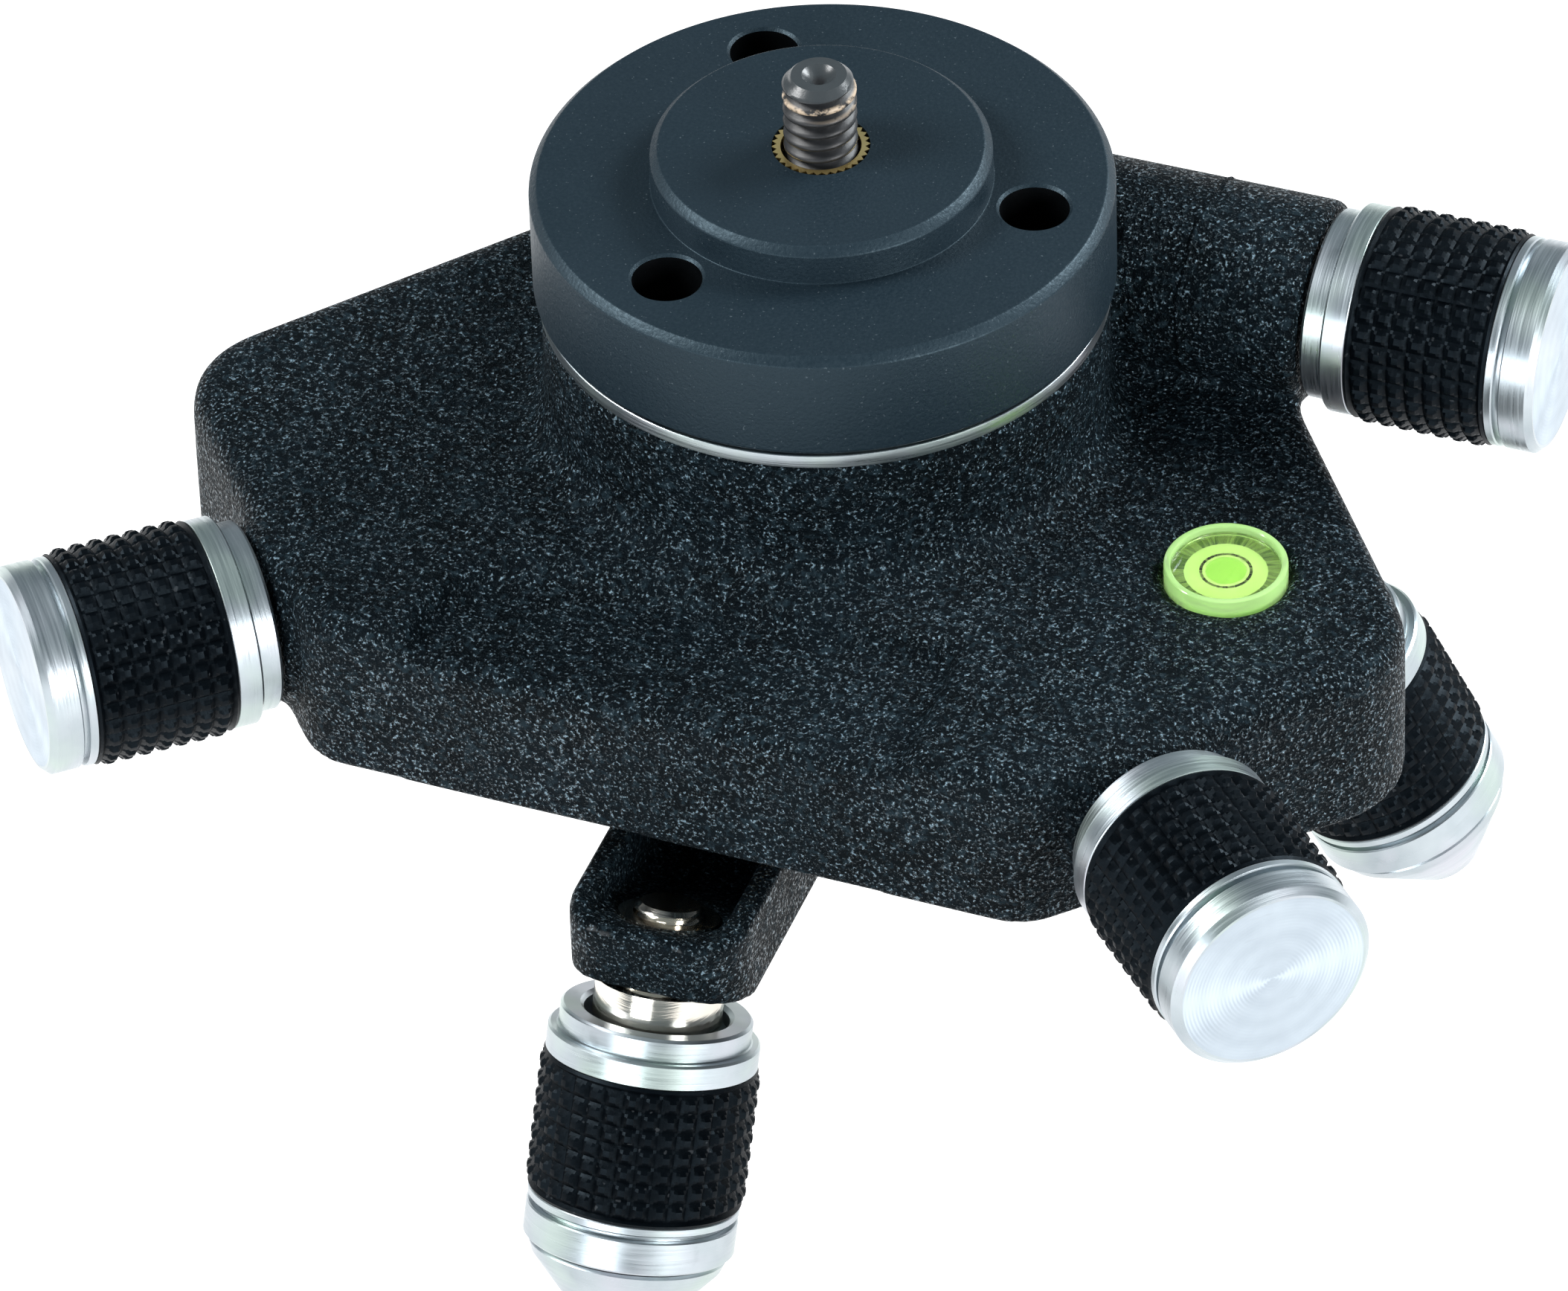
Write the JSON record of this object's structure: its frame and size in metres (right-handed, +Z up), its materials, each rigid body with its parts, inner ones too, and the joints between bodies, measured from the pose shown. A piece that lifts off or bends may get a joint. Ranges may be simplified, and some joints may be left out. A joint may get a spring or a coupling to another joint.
{
  "type": "levelling and panning head for a survey instrument",
  "caption": "Compact cast head with a geared panning disc and threaded stud, screw-driven fine tilt, a bullseye level and splayed knurled screw feet.",
  "frame": {"origin": "centre of the instrument seat on the raised boss, on the pan axis", "axes": "+Z up along the pan axis and stud; -Y towards the front foot; the worm and its knob run along +X"},
  "size_m": [0.1252, 0.0917, 0.0951],
  "materials": {
    "black_paint": "fine-textured black coating",
    "dark_anodised": "satin dark anodised",
    "bright_aluminium": "turned bright",
    "rubber": "matt, moulded pyramids",
    "brass": "machined",
    "steel": "turned",
    "dark_steel": "black oxide",
    "nickel": "nickel plated",
    "vial_green": "green level fluid",
    "clear": "clear"
  },
  "bodies": {
    "base": {"spider_frame": "black_paint", "tripod_insert": "brass", "tilt_post": "steel", "foot_bushes": "nickel", "gimbal_pins_lower": "steel"},
    "foot_1": {"foot_1_tip": "bright_aluminium"},
    "foot_1_knob": {"foot_1_core": "bright_aluminium", "foot_1_grip": "rubber", "foot_1_cap": "bright_aluminium", "foot_1_screw": "steel"},
    "foot_2": {"foot_2_tip": "bright_aluminium"},
    "foot_2_knob": {"foot_2_core": "bright_aluminium", "foot_2_grip": "rubber", "foot_2_cap": "bright_aluminium", "foot_2_screw": "steel"},
    "foot_3": {"foot_3_tip": "bright_aluminium"},
    "foot_3_knob": {"foot_3_core": "bright_aluminium", "foot_3_grip": "rubber", "foot_3_cap": "bright_aluminium", "foot_3_screw": "steel"},
    "gimbal": {"gimbal_ring": "brass"},
    "head": {"housing_shell": "black_paint", "thrust_ring": "bright_aluminium", "bearing_plate": "bright_aluminium", "worm_bushes": "brass", "bottom_cover": "dark_steel", "gimbal_pins_upper": "steel", "tilt_left_bush": "brass", "tilt_right_bush": "brass", "vial_cup": "dark_steel", "vial_fluid": "vial_green", "vial_bubble": "clear", "vial_lens": "clear"},
    "pan": {"pan_disc": "dark_anodised", "brass_insert": "brass", "mounting_stud": "dark_steel", "pan_spindle": "steel", "worm_wheel": "brass", "pan_retainer": "steel"},
    "worm": {"worm_shaft": "steel", "pan_knob_core": "bright_aluminium", "pan_knob_grip": "rubber", "pan_knob_cap": "bright_aluminium"},
    "tilt_left": {"tilt_left_screw": "steel", "tilt_left_knob_core": "bright_aluminium", "tilt_left_knob_grip": "rubber", "tilt_left_knob_cap": "bright_aluminium"},
    "tilt_left_push": {"tilt_left_pusher": "steel"},
    "tilt_right": {"tilt_right_screw": "steel", "tilt_right_knob_core": "bright_aluminium", "tilt_right_knob_grip": "rubber", "tilt_right_knob_cap": "bright_aluminium"},
    "tilt_right_push": {"tilt_right_pusher": "steel"}
  },
  "joints": [
    {"name": "foot_1_slide", "type": "slide", "parent": "base", "child": "foot_1", "axis": [0, -0.4226, -0.9063], "range_m": [-0.002, 0.003]},
    {"name": "foot_1_turn", "type": "hinge", "parent": "foot_1", "child": "foot_1_knob", "pos_m": [0, -0.045, -0.0602], "axis": [0, -0.4226, -0.9063], "range_deg": [-720, 1080]},
    {"name": "foot_2_slide", "type": "slide", "parent": "base", "child": "foot_2", "axis": [0.3918, 0.1583, -0.9063], "range_m": [-0.0004, 0.0048]},
    {"name": "foot_2_turn", "type": "hinge", "parent": "foot_2", "child": "foot_2_knob", "pos_m": [0.03879, 0.01567, -0.05717], "axis": [0.3918, 0.1583, -0.9063], "range_deg": [-144, 1728]},
    {"name": "foot_3_slide", "type": "slide", "parent": "base", "child": "foot_3", "axis": [-0.3918, 0.1583, -0.9063], "range_m": [-0.0004, 0.0048]},
    {"name": "foot_3_turn", "type": "hinge", "parent": "foot_3", "child": "foot_3_knob", "pos_m": [-0.03879, 0.01567, -0.05717], "axis": [-0.3918, 0.1583, -0.9063], "range_deg": [-144, 1728]},
    {"name": "tilt_right_axis", "type": "hinge", "parent": "base", "child": "gimbal", "pos_m": [0, 0, -0.048], "axis": [-0.7373, -0.6756, 0], "range_deg": [-2.5, 2.5]},
    {"name": "tilt_left_axis", "type": "hinge", "parent": "gimbal", "child": "head", "pos_m": [0, 0, -0.048], "axis": [0.6756, -0.7373, 0], "range_deg": [-2.5, 2.5]},
    {"name": "pan_turn", "type": "hinge", "parent": "head", "child": "pan", "pos_m": [0, 0, -0.014], "axis": [0, 0, 1], "continuous": true},
    {"name": "worm_turn", "type": "hinge", "parent": "head", "child": "worm", "pos_m": [0.0393, 0.0184, -0.0212], "axis": [1, 0, 0], "continuous": true},
    {"name": "tilt_left_turn", "type": "hinge", "parent": "head", "child": "tilt_left", "pos_m": [-0.04029, -0.03381, -0.0357], "axis": [-0.766, -0.6428, 0], "range_deg": [-225, 225]},
    {"name": "tilt_left_push_slide", "type": "slide", "parent": "head", "child": "tilt_left_push", "axis": [-0.766, -0.6428, 0], "range_m": [-0.00052, 0.00052]},
    {"name": "tilt_right_turn", "type": "hinge", "parent": "head", "child": "tilt_right", "pos_m": [0.04236, -0.03571, -0.0357], "axis": [0.7071, -0.7071, 0], "range_deg": [-225, 225]},
    {"name": "tilt_right_push_slide", "type": "slide", "parent": "head", "child": "tilt_right_push", "axis": [0.7071, -0.7071, 0], "range_m": [-0.00052, 0.00052]}
  ],
  "couplings": [
    {"joint": "foot_1_turn", "follows": "foot_1_slide", "rad_per_m": 6283.2},
    {"joint": "foot_2_turn", "follows": "foot_2_slide", "rad_per_m": 6283.2},
    {"joint": "foot_3_turn", "follows": "foot_3_slide", "rad_per_m": 6283.2},
    {"joint": "worm_turn", "follows": "pan_turn", "ratio": 46},
    {"joint": "tilt_left_axis", "follows": "tilt_left_turn", "ratio": -0.010352},
    {"joint": "tilt_left_push_slide", "follows": "tilt_left_turn", "m_per_rad": 0.00012732},
    {"joint": "tilt_right_axis", "follows": "tilt_right_turn", "ratio": 0.010352},
    {"joint": "tilt_right_push_slide", "follows": "tilt_right_turn", "m_per_rad": 0.00012732}
  ]
}
